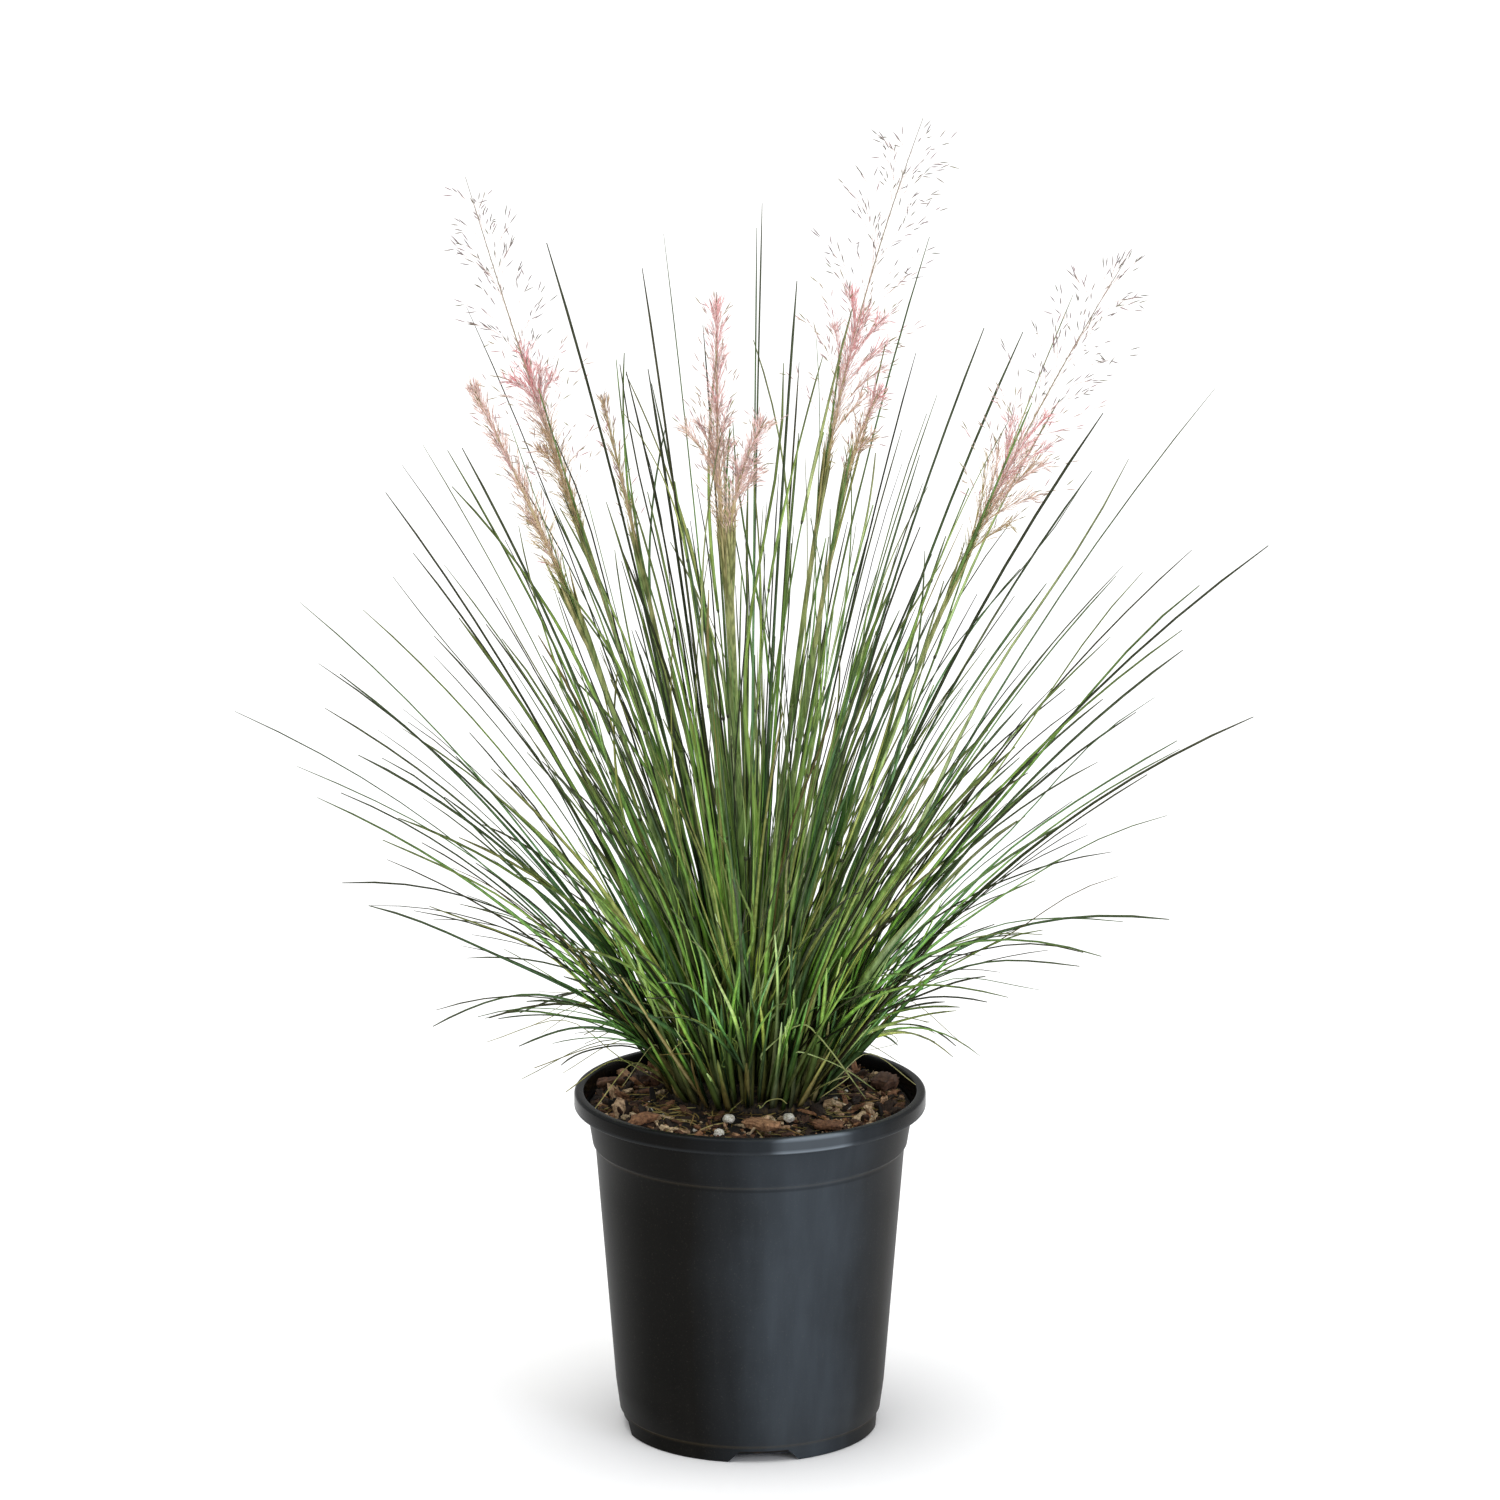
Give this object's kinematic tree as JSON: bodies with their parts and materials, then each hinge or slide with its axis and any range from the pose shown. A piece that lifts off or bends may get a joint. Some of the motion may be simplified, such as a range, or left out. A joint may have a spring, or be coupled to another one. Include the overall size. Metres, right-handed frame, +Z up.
{
  "type": "potted muhly grass",
  "caption": "Upright tuft of fine muhly grass with airy pink panicles, growing in a tapered black nursery pot filled with bark mix.",
  "frame": {"origin": "on the floor, under the pot's axis, which is within 2 mm of the middle of the whole plant's box", "axes": "+Z up along the pot's axis, +X to the right of the pictured front, -Y towards the viewer"},
  "size_m": [0.6352, 0.6362, 0.8161],
  "materials": {
    "pot_plastic": "black satin nursery-pot plastic",
    "potting_mix": "damp dark composted bark mix",
    "bark": "split pine bark chip",
    "perlite": "matt off-white expanded grain",
    "leaf_bases": "packed straw-green leaf bases",
    "leaf": "satin green leaf blade",
    "culm": "green-tan stem",
    "panicle": "dry pink hair-fine branchlets"
  },
  "bodies": {
    "root": {"pot": "pot_plastic", "potting_mix": "potting_mix", "crown": "leaf_bases", "bark_chip_1": "bark", "bark_chip_2": "bark", "bark_chip_3": "bark", "bark_chip_4": "bark", "bark_chip_5": "bark", "perlite_1": "perlite", "perlite_2": "perlite", "perlite_3": "perlite", "tiller_01": "leaf", "tiller_02": "leaf", "tiller_03": "leaf", "tiller_04": "leaf", "tiller_05": "leaf", "tiller_06": "leaf", "tiller_07": "leaf", "tiller_08": "leaf", "tiller_09": "leaf", "tiller_10": "leaf", "tiller_11": "leaf", "tiller_12": "leaf", "tiller_13": "leaf", "tiller_14": "leaf", "tiller_15": "leaf", "tiller_16": "leaf", "tiller_17": "leaf", "tiller_18": "leaf", "tiller_19": "leaf", "tiller_20": "leaf", "tiller_21": "leaf", "tiller_22": "leaf", "tiller_23": "leaf", "tiller_24": "leaf", "tiller_25": "leaf", "tiller_26": "leaf", "tiller_27": "leaf", "tiller_28": "leaf", "tiller_29": "leaf", "tiller_30": "leaf", "tiller_31": "leaf", "tiller_32": "leaf", "tiller_33": "leaf", "culm_1": "culm", "culm_2": "culm", "culm_3": "culm", "culm_4": "culm", "culm_5": "culm", "culm_6": "culm", "culm_7": "culm", "culm_8": "culm", "panicle_1": "panicle", "panicle_2": "panicle", "panicle_3": "panicle", "panicle_4": "panicle", "panicle_5": "panicle", "panicle_6": "panicle", "panicle_7": "panicle", "panicle_8": "panicle"}
  },
  "joints": []
}
